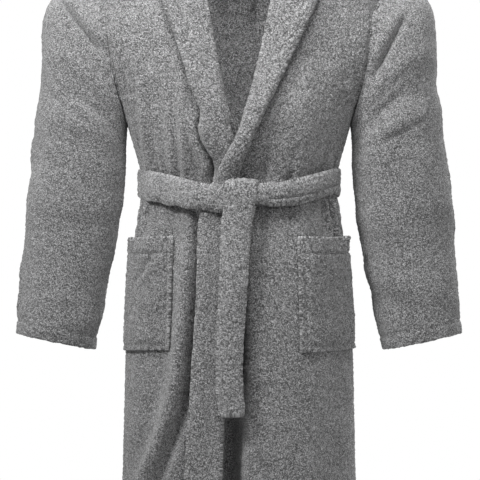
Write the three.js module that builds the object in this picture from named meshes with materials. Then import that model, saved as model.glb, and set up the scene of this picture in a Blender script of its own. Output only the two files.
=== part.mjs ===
// A terry bathrobe with a shawl collar, tied shut at the waist and filled out as if worn.
// Millimetres, +Z up, the robe's front faces -Y and the wearer's left is +X. The origin is midway between the
// two points where the shoulder seams meet the neck.
import * as THREE from "three";

// Cloth
const CLOTH = 4; // one layer of terry
const DOUBLE = 8; // two layers, as in the collar and the belt
const SEAM_GAP = 0.3; // between two pieces sewn edge to edge
const LAYER_GAP = 2.5; // between two layers that lie on each other
const OVERLAP_LIFT = 18; // how far the upper front stands off the lower one where they cross

// Heights below the neck point
const LENGTH = 1200;
const WAIST_DROP = 424;
const ARMPIT_DROP = 312;
const SHOULDER_DROP = 60;
const HIP_DROP = 620;
const BACK_NECK_DROP = 22;

// Half widths and half depths of the body
const NECK_HALF = 95;
const SHOULDER_HALF = 278;
const CHEST_HALF = 202;
const WAIST_HALF = 177;
const HIP_HALF = 200;
const HEM_HALF = 216;
const SHOULDER_DEPTH = 106;
const CHEST_DEPTH = 118;
const WAIST_DEPTH = 102;
const HIP_DEPTH = 122;
const HEM_DEPTH = 138;
const ARMHOLE_DEPTH = 66;
const SHOULDER_ROUND = 115; // height over which the chest turns over into the shoulder
const SQUARENESS = 2.4; // exponent of the body's oval section

// Belt
const BELT_WIDTH = 46;
const BELT_THICK = 7;
const BELT_SAG = 30; // how far it dips at the knot
const KNOT_WIDTH = 54;
const KNOT_HEIGHT = 60;
const KNOT_THICK = 26;
const KNOT_X = 4;
const TAIL_LENGTH = 352;
const REAR_TAIL_LENGTH = 338;
const TAIL_WIDTH = 48;
const REAR_TAIL_WIDTH = 42;
const TAIL_THICK = 8;
const LOOP_WIDTH = 10;
const LOOP_THICK = 2.5;
const LOOP_REACH = 14; // how far a belt loop runs past the belt, above and below
const LOOP_ANGLE = 110; // where it is sewn to the back panel, just behind the side seam

// Pockets
const POCKET_DROP = 528;
const POCKET_HEIGHT = 198;
const POCKET_INNER = 105; // from the centre line to the pocket's inner edge
const POCKET_OUTER_ANGLE = 82;
const POCKET_BULGE = 20;
const POCKET_HEM = 28;
const HEM_TURN = 2; // the turned edge inside the pocket's mouth, pressed flat by its stitching

// Sleeves: sections below the armhole, each with its place along the sleeve, how far its inner edge lies beyond
// the body's side, how far its outer edge lies beyond the shoulder's tip, its slant and its half depth
const CUFF_DROP = 710;
const SLEEVE_CLEAR = 4;
const CUFF_HEM = 22;
const SLEEVE_SECTIONS = [
  { along: 0.09, inner: 6, outer: 60, slant: 124, halfDepth: 71 },
  { along: 0.29, inner: 7, outer: 83, slant: 64, halfDepth: 70 },
  { along: 0.54, inner: 17, outer: 103, slant: 30, halfDepth: 66 },
  { along: 0.8, inner: 40, outer: 116, slant: 15, halfDepth: 61 },
  { along: 1, inner: 60, outer: 124, slant: 8, halfDepth: 57 },
];

// Hanger loop, neck tape and bottom hems
const HANGER_WIDTH = 64;
const HANGER_DROP = 46;
const HANGER_TAPE = 7;
const HANGER_THICK = 2.5;
const TAPE_HEIGHT = 14;
const TAPE_THICK = 1.5;
const HEM_HEIGHT = 26;

const TERRY = { color: 0x6c6d6e, roughness: 0.95, metalness: 0 };
const TERRY_SHADE = { color: 0x636465, roughness: 0.95, metalness: 0 };
const TAPE = { color: 0x77787a, roughness: 0.85, metalness: 0 };

const RAD = Math.PI / 180;
const mix = THREE.MathUtils.lerp;
const ease = THREE.MathUtils.smoothstep;
const vec = (x, y, z) => new THREE.Vector3(x, y, z);

const robe = new THREE.Group();

function addPiece(name, geometry, look) {
  const mesh = new THREE.Mesh(geometry, new THREE.MeshStandardMaterial(look));
  mesh.name = name;
  robe.add(mesh);
}

// A smooth curve of a value against height, through [z, value] stations from the lowest up.
function profile(stations) {
  const last = stations.length - 1;
  const slope = (i) => {
    const from = stations[Math.max(i - 1, 0)];
    const to = stations[Math.min(i + 1, last)];
    return (to[1] - from[1]) / (to[0] - from[0]);
  };
  return (z) => {
    if (z <= stations[0][0]) return stations[0][1];
    if (z >= stations[last][0]) return stations[last][1];
    const i = stations.findIndex((station) => station[0] > z) - 1;
    const span = stations[i + 1][0] - stations[i][0];
    const t = (z - stations[i][0]) / span;
    const [t2, t3] = [t * t, t * t * t];
    return (
      stations[i][1] * (2 * t3 - 3 * t2 + 1) +
      slope(i) * span * (t3 - 2 * t2 + t) +
      stations[i + 1][1] * (3 * t2 - 2 * t3) +
      slope(i + 1) * span * (t3 - t2)
    );
  };
}

const halfWidthAt = profile([
  [-LENGTH, HEM_HALF],
  [-HIP_DROP - 160, HIP_HALF + 5],
  [-HIP_DROP, HIP_HALF],
  [-WAIST_DROP, WAIST_HALF],
  [-ARMPIT_DROP, CHEST_HALF],
  [mix(-ARMPIT_DROP, -SHOULDER_DROP, 0.35), mix(CHEST_HALF, SHOULDER_HALF, 0.31)],
  [mix(-ARMPIT_DROP, -SHOULDER_DROP, 0.75), mix(CHEST_HALF, SHOULDER_HALF, 0.55)],
  [-SHOULDER_DROP, SHOULDER_HALF],
]);
const halfDepthAt = profile([
  [-LENGTH, HEM_DEPTH],
  [-HIP_DROP, HIP_DEPTH],
  [-WAIST_DROP, WAIST_DEPTH],
  [-ARMPIT_DROP, CHEST_DEPTH],
  [-SHOULDER_ROUND, SHOULDER_DEPTH],
]);

// Half the armhole's opening from front to back, at a height.
function armholeAt(z) {
  const middle = -(ARMPIT_DROP + SHOULDER_DROP) / 2;
  const reach = (ARMPIT_DROP - SHOULDER_DROP) / 2;
  const t = Math.min(Math.abs((z - middle) / reach), 1);
  return ARMHOLE_DEPTH * Math.sqrt(1 - t ** 2.6);
}

// Height of the shoulder seam.
function shoulderAt(x) {
  const t = (Math.abs(x) - NECK_HALF) / (SHOULDER_HALF - NECK_HALF);
  return -SHOULDER_DROP * Math.max(t, 0);
}

// The body's middle surface: angle 0 is the front centre, 90 the wearer's left side, 180 the back centre.
function bodyPoint(angle, z) {
  const sine = Math.sin(angle * RAD);
  const cosine = Math.cos(angle * RAD);
  const x = halfWidthAt(z) * Math.sign(sine) * Math.abs(sine) ** (2 / SQUARENESS);
  const rounded = THREE.MathUtils.clamp((shoulderAt(x) - z) / SHOULDER_ROUND, 0, 1);
  const turn = Math.sqrt(1 - (1 - rounded) ** 2);
  const hole = armholeAt(z);
  const depth = hole + (halfDepthAt(z) - hole) * Math.abs(cosine) ** (2 / SQUARENESS);
  const spread = SEAM_GAP + (CLOTH / 2) * ease(Math.abs(x), 0.8 * SHOULDER_HALF, SHOULDER_HALF);
  return vec(x, (cosine >= 0 ? -1 : 1) * (depth * turn + spread), z);
}

// The angle at which the body's surface reaches a given x.
function angleAt(x, z) {
  const share = Math.min(Math.abs(x) / halfWidthAt(z), 1);
  return (Math.sign(x) * Math.asin(share ** (SQUARENESS / 2))) / RAD;
}

// Turns a grid of surface points into one closed solid: at(u, v) is the middle surface for u and v from 0 to 1.
// lift(u, v) moves it outward, and settle(point) has the last word on a corner. A ring has no ends along u.
function shell({ at, across, along, thick, lift = () => 0, ring = false, flip = false, settle = (p) => p }) {
  const step = 1e-4;
  const columns = ring ? across : across + 1;
  const rows = along + 1;
  const outward = flip ? -1 : 1;
  const positions = [];
  for (const side of [1, -1])
    for (let j = 0; j < rows; j++)
      for (let i = 0; i < columns; i++) {
        const [u, v] = [i / across, j / along];
        const [u0, u1] = ring ? [u - step, u + step] : [Math.max(u - step, 0), Math.min(u + step, 1)];
        const [v0, v1] = [Math.max(v - step, 0), Math.min(v + step, 1)];
        const alongU = at(u1, v).sub(at(u0, v));
        const alongV = at(u, v1).sub(at(u, v0));
        const normal = alongU.cross(alongV).normalize().multiplyScalar(outward);
        const point = settle(at(u, v).addScaledVector(normal, lift(u, v) + (side * thick) / 2));
        positions.push(point.x, point.y, point.z);
      }
  const layer = columns * rows;
  const corner = (i, j, back) => back * layer + j * columns + (i % columns);
  const faces = [];
  const quad = (a, b, c, d) => faces.push(a, b, c, a, c, d);
  for (let j = 0; j < along; j++)
    for (let i = 0; i < across; i++) {
      quad(corner(i, j, 0), corner(i + 1, j, 0), corner(i + 1, j + 1, 0), corner(i, j + 1, 0));
      quad(corner(i, j, 1), corner(i, j + 1, 1), corner(i + 1, j + 1, 1), corner(i + 1, j, 1));
    }
  for (let i = 0; i < across; i++) {
    quad(corner(i, 0, 1), corner(i + 1, 0, 1), corner(i + 1, 0, 0), corner(i, 0, 0));
    quad(corner(i, along, 0), corner(i + 1, along, 0), corner(i + 1, along, 1), corner(i, along, 1));
  }
  if (!ring)
    for (let j = 0; j < along; j++) {
      quad(corner(0, j, 0), corner(0, j + 1, 0), corner(0, j + 1, 1), corner(0, j, 1));
      quad(corner(across, j, 1), corner(across, j + 1, 1), corner(across, j + 1, 0), corner(across, j, 0));
    }
  if (flip) faces.reverse();
  const geometry = new THREE.BufferGeometry();
  geometry.setAttribute("position", new THREE.Float32BufferAttribute(positions, 3));
  geometry.setIndex(faces);
  return geometry;
}

// Rows from the hem up to the shoulder seam, close together where the chest turns over into the shoulder.
const STRAIGHT_ROWS = 0.72;
function rowHeight(v, top, bottom) {
  if (v <= STRAIGHT_ROWS) return mix(bottom, top - SHOULDER_ROUND, v / STRAIGHT_ROWS);
  const turn = (v - STRAIGHT_ROWS) / (1 - STRAIGHT_ROWS);
  return top - SHOULDER_ROUND * (1 - Math.sin(turn * 89.6 * RAD));
}

// A point of a panel whose column angle depends on height: angleOf(z), top(x) gives the panel's upper edge.
function panelPoint(angleOf, top, v) {
  let z = rowHeight(v, 0, PANEL_BOTTOM);
  for (let i = 0; i < 8; i++) z = rowHeight(v, top(bodyPoint(angleOf(z), z).x), PANEL_BOTTOM);
  return bodyPoint(angleOf(z), z);
}
const PANEL_BOTTOM = -LENGTH;
const SIDE_ANGLE = 90 - 0.15; // just short of the side seam's middle

// Where the collar rolls over: the wearer's left front edge, which crosses the centre line above the belt.
const rollLineAt = profile([
  [-LENGTH, -94],
  [-HIP_DROP - 340, -88],
  [-HIP_DROP, -66],
  [-WAIST_DROP, -41],
  [-WAIST_DROP + 40, -25],
  [-WAIST_DROP + 89, 0],
  [-WAIST_DROP + 135, 16],
  [-WAIST_DROP + 191, 32],
  [-96, 61],
  [0, NECK_HALF - 13],
]);
const collarWidthAt = profile([
  [-LENGTH, 60],
  [-HIP_DROP - 340, 56],
  [-HIP_DROP, 46],
  [-WAIST_DROP, 34],
  [-WAIST_DROP + 89, 24],
  [-WAIST_DROP + 191, 42],
  [-96, 74],
  [0, 78],
]);
const COLLAR_STAND = 38; // the roll's height above the neck point at the centre back
const COLLAR_FALL = 56; // how far below the neck point the free edge hangs there
const COLLAR_FALL_X = NECK_HALF + 62; // the free edge's place on the shoulder
const EDGE_INSET = 6; // the panel's raw edge lies this far inside the collar's roll
const PANEL_ROW_STEP = 46;
const PANEL_ROWS = Math.round(LENGTH / PANEL_ROW_STEP);

// The upper front stands off the lower one near the centre, and meets the side seam flush.
function overlapLift(x, z) {
  const share = Math.abs(x) / halfWidthAt(z);
  const near = 1 - ease(share, 0.5, 0.92);
  const low = 1 - ease(z, -WAIST_DROP + 110, -WAIST_DROP + 240);
  return OVERLAP_LIFT * near * low;
}

function addFront(name, side) {
  const upper = side > 0;
  const edgeAngle = (z) => angleAt(rollLineAt(z) + EDGE_INSET, z);
  const at = (u, v) => {
    const point = panelPoint((z) => mix(edgeAngle(z), SIDE_ANGLE, u), shoulderAt, v);
    point.x *= side;
    return point;
  };
  const lift = (u, v) => {
    const point = at(u, v);
    return upper ? overlapLift(point.x, point.z) : 0;
  };
  addPiece(name, shell({ at, across: 12, along: PANEL_ROWS, thick: CLOTH, lift, flip: !upper }), TERRY);
}

function addBack() {
  const top = (x) => {
    const neck = Math.max(1 - (x / NECK_HALF) ** 2, 0);
    return shoulderAt(x) - BACK_NECK_DROP * neck;
  };
  const at = (u, v) => {
    const angle = mix(180 - SIDE_ANGLE, 180 + SIDE_ANGLE, u);
    return panelPoint(() => angle, top, v);
  };
  addPiece("back_panel", shell({ at, across: 16, along: PANEL_ROWS, thick: CLOTH }), TERRY);
}

// A sleeve: the armhole's loop, swept through the sleeve's sections to the wrist. It hangs clear of the body's
// side, which is the chest's or, where that is wider, the belted waist's.
const BELT_REST = CLOTH / 2 + LAYER_GAP + BELT_THICK / 2;
const BODY_SIDE = Math.max(CHEST_HALF, WAIST_HALF + BELT_REST + BELT_THICK / 2);
function sleeveSurface(side) {
  const middle = -(ARMPIT_DROP + SHOULDER_DROP) / 2;
  const reach = (ARMPIT_DROP - SHOULDER_DROP) / 2;
  const along = (turn) => {
    const [cosine, sine] = [Math.cos(turn), Math.sin(turn)];
    const z = middle + reach * cosine * 0.985;
    const depth = Math.abs(sine) < 1e-6 ? 0 : Math.abs(bodyPoint(SIDE_ANGLE, z).y);
    const rim = vec(halfWidthAt(z) + SLEEVE_CLEAR, -Math.sign(sine) * depth, z - CLOTH * (1 - cosine));
    const points = [rim];
    for (const { along: share, inner, outer, slant, halfDepth } of SLEEVE_SECTIONS) {
      const x = mix(BODY_SIDE + inner, SHOULDER_HALF + outer, (1 + cosine) / 2);
      points.push(vec(x, -halfDepth * sine, mix(middle, -CUFF_DROP, share) + slant * cosine));
    }
    return new THREE.CatmullRomCurve3(points, false, "centripetal");
  };
  return (u, v) => {
    const point = along(u * 2 * Math.PI).getPoint(v);
    return vec(point.x * side, point.y, point.z);
  };
}

function addSleeve(name, side) {
  const surface = sleeveSurface(side);
  const flip = side < 0;
  const common = { ring: true, across: 16, thick: CLOTH, flip };
  addPiece(`sleeve_${name}`, shell({ ...common, at: surface, along: 13 }), TERRY);
  const hemShare = CUFF_HEM / (CUFF_DROP - ARMPIT_DROP) / 1.25;
  const hemAt = (u, v) => surface(u, mix(1 - hemShare, 1, v));
  const inside = () => -(CLOTH + SEAM_GAP + 0.3);
  addPiece(`cuff_hem_${name}`, shell({ ...common, at: hemAt, along: 1, lift: inside }), TERRY_SHADE);
}

// The collar half of one side, from the belt up over the shoulder to the centre back.
const COLLAR_LIFT = CLOTH / 2 + LAYER_GAP + DOUBLE / 2;
const COLLAR_BOTTOM = -WAIST_DROP - BELT_SAG;
function frontEdgePoint(x, z, side, rise) {
  const angle = angleAt(x, z);
  const step = 0.01;
  const across = bodyPoint(angle + step, z).sub(bodyPoint(angle - step, z));
  const up = bodyPoint(angle, z + step).sub(bodyPoint(angle, z - step));
  const normal = across.cross(up).normalize();
  const stand = rise + (side > 0 ? overlapLift(x, z) : 0);
  const point = bodyPoint(angle, z).addScaledVector(normal, stand);
  return vec(point.x * side, point.y, point.z);
}

const COLLAR_STATIONS = 15;
function collarColumn(side, t) {
  const points = [];
  for (let i = 0; i <= COLLAR_STATIONS; i++) {
    const z = mix(COLLAR_BOTTOM, -SHOULDER_ROUND / 2, i / COLLAR_STATIONS);
    points.push(frontEdgePoint(rollLineAt(z) + t * collarWidthAt(z), z, side, COLLAR_LIFT));
  }
  const over = (inner, outer) => {
    const point = inner.clone().lerp(outer, t);
    point.x *= side;
    points.push(point);
  };
  const fall = (x, y, rise) => vec(x, y, shoulderAt(x) + rise);
  over(vec(NECK_HALF - 20, -68, -10), fall(COLLAR_FALL_X, -72, -8));
  over(vec(NECK_HALF - 13, 0, COLLAR_STAND - 14), fall(COLLAR_FALL_X + 3, 0, 13));
  over(vec(NECK_HALF - 33, 46, COLLAR_STAND - 4), fall(COLLAR_FALL_X - 33, 84, -24.5));
  over(vec(0, 66, COLLAR_STAND), vec(0, SHOULDER_DEPTH + 10, -COLLAR_FALL));
  return new THREE.CatmullRomCurve3(points, false, "centripetal");
}

function addCollar(name, side) {
  const columns = [0, 1, 2, 3, 4].map((i) => collarColumn(side, i / 4));
  const at = (u, v) => {
    const column = Math.min(Math.floor(u * 4), 3);
    return columns[column].getPoint(v).lerp(columns[column + 1].getPoint(v), u * 4 - column);
  };
  // The two halves are cut off flat where they are seamed at the centre back.
  const settle = (point) => {
    if (point.y > 0) point.x = side * Math.max(point.x * side, SEAM_GAP / 2);
    return point;
  };
  addPiece(name, shell({ at, across: 4, along: 30, thick: DOUBLE, flip: side < 0, settle }), TERRY);
}

// The doubled band that carries the collar on down the front edge.
function addBand(name, side) {
  const at = (u, v) => {
    const z = mix(-LENGTH, COLLAR_BOTTOM - LAYER_GAP, v);
    return frontEdgePoint(rollLineAt(z) + u * collarWidthAt(z), z, side, COLLAR_LIFT);
  };
  addPiece(name, shell({ at, across: 3, along: 12, thick: DOUBLE, flip: side < 0 }), TERRY);
}

// The belt: a doubled strip round the waist, dipping to a knot at the front.
function beltLift(x, z) {
  const crossed = x > 0 ? overlapLift(x, z) : OVERLAP_LIFT * (1 - ease(-x, 60, 140));
  return BELT_REST + crossed + (DOUBLE + LAYER_GAP + 1) * (1 - ease(Math.abs(x + 5), 60, 115));
}

function addBelt() {
  const clear = KNOT_WIDTH / 2 + SEAM_GAP;
  const from = angleAt(KNOT_X + clear, -WAIST_DROP);
  const to = 360 + angleAt(KNOT_X - clear, -WAIST_DROP);
  const at = (u, v) => {
    const angle = mix(from, to, u);
    const front = Math.cos(angle * RAD) > 0;
    const x = bodyPoint(angle, -WAIST_DROP).x;
    const dip = front ? BELT_SAG * (1 - ease(Math.abs(x), 20, 170)) : 0;
    return bodyPoint(angle, -WAIST_DROP - dip + (v - 0.5) * BELT_WIDTH);
  };
  const lift = (u, v) => {
    const point = at(u, v);
    return point.y < 0 ? beltLift(point.x, point.z) : BELT_REST;
  };
  addPiece("belt_waist", shell({ at, across: 44, along: 2, thick: BELT_THICK, lift }), TERRY);
}

// A rounded slab standing in the XZ plane, its middle at the origin.
function roundedSlab(width, height, thick, radius) {
  const shape = new THREE.Shape();
  const [w, h] = [width / 2 - radius, height / 2 - radius];
  shape.absarc(w, h, radius, 0, Math.PI / 2);
  shape.absarc(-w, h, radius, Math.PI / 2, Math.PI);
  shape.absarc(-w, -h, radius, Math.PI, 1.5 * Math.PI);
  shape.absarc(w, -h, radius, 1.5 * Math.PI, 2 * Math.PI);
  const round = { depth: thick, bevelEnabled: false, curveSegments: 4 };
  return new THREE.ExtrudeGeometry(shape, round).translate(0, 0, -thick / 2).rotateX(Math.PI / 2);
}

const KNOT_Z = -WAIST_DROP - BELT_SAG;
const KNOT_BOTTOM = KNOT_Z - KNOT_HEIGHT / 2;
const FRONT_STACK = OVERLAP_LIFT + COLLAR_LIFT + DOUBLE / 2 + LAYER_GAP / 2;
function addKnot() {
  const y = -(halfDepthAt(KNOT_BOTTOM) + FRONT_STACK + KNOT_THICK / 2 + 1);
  const knot = roundedSlab(KNOT_WIDTH, KNOT_HEIGHT, KNOT_THICK, 12).translate(KNOT_X, y, KNOT_Z);
  addPiece("belt_knot", knot, TERRY);
}

// A free end of the belt, hanging from the knot down the front of the skirt.
function addTail(name, { width, length, layer }) {
  const at = (u, v) => {
    const z = KNOT_BOTTOM - 1 - length * (1 - v);
    const y = -(halfDepthAt(z) + FRONT_STACK + TAIL_THICK / 2 + layer * (TAIL_THICK + 1) + 1);
    return vec(KNOT_X + (u - 0.5) * width - 12 * ease(1 - v, 0, 0.8), y, z);
  };
  addPiece(name, shell({ at, across: 2, along: 10, thick: TAIL_THICK }), TERRY);
}

// A carrier just behind the side seam: a bridge over the belt, open towards the robe. Its outline is drawn in
// the upright plane that stands square to the back panel there, with the distance from the panel as x.
function addBeltLoop(name, side) {
  const [top, bottom] = [1, -1].map((end) => -WAIST_DROP + end * (BELT_WIDTH / 2 + LOOP_REACH));
  const step = 0.01;
  const base = bodyPoint(side * LOOP_ANGLE, -WAIST_DROP);
  const ahead = bodyPoint(side * LOOP_ANGLE + step, -WAIST_DROP);
  const tangent = ahead.sub(bodyPoint(side * LOOP_ANGLE - step, -WAIST_DROP)).normalize();
  const up = vec(0, 0, 1);
  const outward = tangent.clone().cross(up);
  const panelAt = (z) => bodyPoint(side * LOOP_ANGLE, z).sub(base).dot(outward);
  const footAt = (z) => panelAt(z) + CLOTH / 2 + LAYER_GAP / 2;
  const inner = panelAt(-WAIST_DROP + BELT_WIDTH / 2) + BELT_REST + BELT_THICK / 2 + 1;
  const outer = inner + LOOP_THICK;
  const outline = [
    [footAt(top), top],
    [outer, top],
    [outer, bottom],
    [footAt(bottom), bottom],
    [footAt(bottom + LOOP_THICK), bottom + LOOP_THICK],
    [inner, bottom + LOOP_THICK],
    [inner, top - LOOP_THICK],
    [footAt(top), top - LOOP_THICK],
  ];
  const shape = new THREE.Shape(outline.map(([distance, z]) => new THREE.Vector2(distance, z)));
  const geometry = new THREE.ExtrudeGeometry(shape, { depth: LOOP_WIDTH, bevelEnabled: false });
  geometry.translate(0, 0, -LOOP_WIDTH / 2);
  geometry.applyMatrix4(new THREE.Matrix4().makeBasis(outward, up, tangent.negate()));
  geometry.translate(base.x, base.y, 0);
  addPiece(name, geometry, TERRY_SHADE);
}

// A patch pocket, sewn down at its sides and bottom and standing open at the top.
function pocketSurface(side) {
  return (u, v) => {
    const z = -POCKET_DROP - POCKET_HEIGHT * (1 - v);
    const angle = mix(angleAt(POCKET_INNER, z), POCKET_OUTER_ANGLE, u);
    const point = bodyPoint(angle, z);
    return vec(point.x * side, point.y, point.z);
  };
}

function addPocket(name, side) {
  const surface = pocketSurface(side);
  const bulge = (u, v) => POCKET_BULGE * (1 - Math.abs(2 * u - 1) ** 4) * ease(v, 0, 0.3);
  const stand = (u, v) => {
    const point = surface(u, v);
    const base = side > 0 ? overlapLift(point.x, point.z) : 0;
    return base + CLOTH + LAYER_GAP / 2 + bulge(u, v);
  };
  const patch = shell({ at: surface, across: 10, along: 8, thick: CLOTH, flip: side < 0, lift: stand });
  addPiece(`pocket_${name}`, patch, TERRY);
  const hemShare = POCKET_HEM / POCKET_HEIGHT;
  const place = (u, v) => [mix(0.12, 0.88, u), mix(1 - hemShare, 1, v)];
  const hemAt = (u, v) => surface(...place(u, v));
  const inside = (u, v) => stand(...place(u, v)) - CLOTH / 2 - HEM_TURN / 2 - 1;
  const hem = shell({ at: hemAt, across: 8, along: 2, thick: HEM_TURN, flip: side < 0, lift: inside });
  addPiece(`pocket_hem_${name}`, hem, TERRY_SHADE);
}

// The bottom hem of one panel: the same cloth, turned up inside.
function addHem(name, fromAngle, toAngle, rise) {
  const at = (u, v) => bodyPoint(mix(fromAngle, toAngle, u), -LENGTH + HEM_HEIGHT * v);
  const lift = (u, v) => {
    const point = at(u, v);
    return rise(point.x, point.z) - CLOTH - LAYER_GAP;
  };
  addPiece(name, shell({ at, across: 12, along: 1, thick: CLOTH, lift }), TERRY_SHADE);
}

function addHems() {
  const bandEnd = angleAt(-rollLineAt(-LENGTH) + 12, -LENGTH);
  const lowerEdge = angleAt(rollLineAt(-LENGTH) + EDGE_INSET, -LENGTH);
  addHem("hem_back", 180 - SIDE_ANGLE, 180 + SIDE_ANGLE, () => 0);
  addHem("hem_left", bandEnd, SIDE_ANGLE, overlapLift);
  addHem("hem_right", -SIDE_ANGLE, -lowerEdge, () => 0);
}

// Inside the back neck: the tape over the collar seam, and the loop that hangs from it.
function addNeckTape() {
  const half = NECK_HALF * 0.75;
  const top = -BACK_NECK_DROP - 4;
  const at = (u, v) => {
    const z = top - TAPE_HEIGHT * (1 - v);
    return bodyPoint(180 - angleAt(mix(half, -half, u), z), z);
  };
  const lift = () => -(CLOTH / 2 + LAYER_GAP + TAPE_THICK / 2);
  addPiece("neck_tape", shell({ at, across: 10, along: 2, thick: TAPE_THICK, lift }), TAPE);
}

const HANGER_Y = SHOULDER_DEPTH - 50;
const HANGER_TOP = -BACK_NECK_DROP - 10;
function addHangerLoop() {
  const corner = 9;
  const outline = (width, height, radius) => {
    const path = new THREE.Shape();
    path.moveTo(-width / 2, 0);
    path.lineTo(-width / 2, -height + radius);
    path.absarc(-width / 2 + radius, -height + radius, radius, Math.PI, 1.5 * Math.PI);
    path.absarc(width / 2 - radius, -height + radius, radius, 1.5 * Math.PI, 2 * Math.PI);
    path.lineTo(width / 2, 0);
    path.closePath();
    return path;
  };
  const shape = outline(HANGER_WIDTH, HANGER_DROP, corner);
  const gap = outline(HANGER_WIDTH - 2 * HANGER_TAPE, HANGER_DROP - 2 * HANGER_TAPE, corner - 5);
  const points = gap.getPoints(4).map((point) => new THREE.Vector2(point.x, point.y - HANGER_TAPE));
  shape.holes.push(new THREE.Path(points));
  const geometry = new THREE.ExtrudeGeometry(shape, { depth: HANGER_THICK, bevelEnabled: false, curveSegments: 4 });
  geometry.translate(0, 0, -HANGER_THICK / 2).rotateX(Math.PI / 2).translate(0, HANGER_Y, HANGER_TOP);
  addPiece("hanger_loop", geometry, TAPE);
}

addBack();
addFront("front_panel_left", 1);
addFront("front_panel_right", -1);
addCollar("shawl_collar_left", 1);
addCollar("shawl_collar_right", -1);
addBand("front_band_left", 1);
addBand("front_band_right", -1);
addSleeve("left", 1);
addSleeve("right", -1);
addPocket("left", 1);
addPocket("right", -1);
addHems();
addBelt();
addKnot();
addTail("belt_tail_front", { width: TAIL_WIDTH, length: TAIL_LENGTH, layer: 1 });
addTail("belt_tail_rear", { width: REAR_TAIL_WIDTH, length: REAR_TAIL_LENGTH, layer: 0 });
addBeltLoop("belt_loop_left", 1);
addBeltLoop("belt_loop_right", -1);
addNeckTape();
addHangerLoop();

export default robe;
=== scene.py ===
# A grey terry bathrobe with a shawl collar, tied at the waist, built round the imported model.
# Everything is in metres. The front faces -Y, and the wearer's left is +X.
import math
import bpy
import numpy as np
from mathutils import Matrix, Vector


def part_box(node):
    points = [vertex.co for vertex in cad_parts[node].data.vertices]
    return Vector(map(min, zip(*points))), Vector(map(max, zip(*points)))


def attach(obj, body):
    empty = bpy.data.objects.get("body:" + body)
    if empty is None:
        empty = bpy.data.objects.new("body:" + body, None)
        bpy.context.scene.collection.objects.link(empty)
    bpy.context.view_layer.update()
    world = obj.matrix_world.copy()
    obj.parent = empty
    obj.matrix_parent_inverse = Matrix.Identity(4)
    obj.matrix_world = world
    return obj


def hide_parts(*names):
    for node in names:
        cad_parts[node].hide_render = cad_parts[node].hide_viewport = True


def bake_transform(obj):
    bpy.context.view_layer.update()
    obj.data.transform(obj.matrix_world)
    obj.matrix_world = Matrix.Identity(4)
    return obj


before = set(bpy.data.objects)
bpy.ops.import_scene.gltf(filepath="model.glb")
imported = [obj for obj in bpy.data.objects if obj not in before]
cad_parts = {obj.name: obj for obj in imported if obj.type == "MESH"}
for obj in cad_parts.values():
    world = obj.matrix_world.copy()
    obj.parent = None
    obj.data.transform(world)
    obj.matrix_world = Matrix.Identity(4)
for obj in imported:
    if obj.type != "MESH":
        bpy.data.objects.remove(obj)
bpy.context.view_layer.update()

# ---------------------------------------------------------------- sizes, from the frame and the cloth
HEM_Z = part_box("back_panel")[0][2]
KNOT_LOW, KNOT_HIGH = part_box("belt_knot")
TAIL_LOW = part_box("belt_tail_front")[0]
WAIST_Z = -0.424
ARMPIT_Z = -0.312
TIP_Z = -0.060  # the shoulder seam's outer end
HIP_Z = -0.620
BACK_NECK_DROP = 0.022
NECK_HALF = 0.095
NECK_ROLL = NECK_HALF - 0.013  # where the collar rolls over on the shoulder seam
TIP_HALF = 0.278
CHEST_HALF = 0.202
ARMHOLE_DEPTH = 0.066
SHOULDER_ROUND = 0.115  # height over which the panels round over to the shoulder seam
SQUARENESS = 2.4  # exponent of the body's section: 2 would be an ellipse
CLOTH = 0.0040  # one layer of terry
OVERLAP_LIFT = 0.018  # how far the upper front stands off the lower one
COLLAR_LIFT = 0.0085  # how far the collar's middle stands off the panel
HEM_DEPTH = 0.026  # height of the turned bottom hem
CUFF_Z = -0.710
PILE = 0.0013  # height of the loops' unevenness
STEP = 0.0036  # spacing of the cloth's mesh, about two loops of the pile


def profile(stations):
    """A smooth curve through (z, value) stations from the lowest up, for arrays of z."""
    at, value = (np.array(column, float) for column in zip(*stations))
    ends = np.arange(len(at))
    before, after = np.maximum(ends - 1, 0), np.minimum(ends + 1, len(at) - 1)
    slope = (value[after] - value[before]) / (at[after] - at[before])

    def curve(z):
        z = np.clip(z, at[0], at[-1])
        i = np.clip(np.searchsorted(at, z, side="right") - 1, 0, len(at) - 2)
        span = at[i + 1] - at[i]
        t = (z - at[i]) / span
        return (
            value[i] * (2 * t**3 - 3 * t**2 + 1)
            + slope[i] * span * (t**3 - 2 * t**2 + t)
            + value[i + 1] * (3 * t**2 - 2 * t**3)
            + slope[i + 1] * span * (t**3 - t**2)
        )

    return curve


def mix(a, b, t):
    return a + (b - a) * t


def ease(x, low, high):
    t = np.clip((x - low) / (high - low), 0, 1)
    return t * t * (3 - 2 * t)


def bell(x, middle, width):
    return np.exp(-(((x - middle) / width) ** 2))


half_width = profile([
    (HEM_Z, 0.216), (HIP_Z - 0.16, 0.205), (HIP_Z, 0.200), (WAIST_Z, 0.177),
    (ARMPIT_Z, CHEST_HALF), (mix(ARMPIT_Z, TIP_Z, 0.35), mix(CHEST_HALF, TIP_HALF, 0.31)),
    (mix(ARMPIT_Z, TIP_Z, 0.75), mix(CHEST_HALF, TIP_HALF, 0.55)), (TIP_Z, TIP_HALF),
])
half_depth = profile([
    (HEM_Z, 0.138), (HIP_Z, 0.122), (WAIST_Z, 0.102), (ARMPIT_Z, 0.118), (-SHOULDER_ROUND, 0.106),
])
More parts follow.
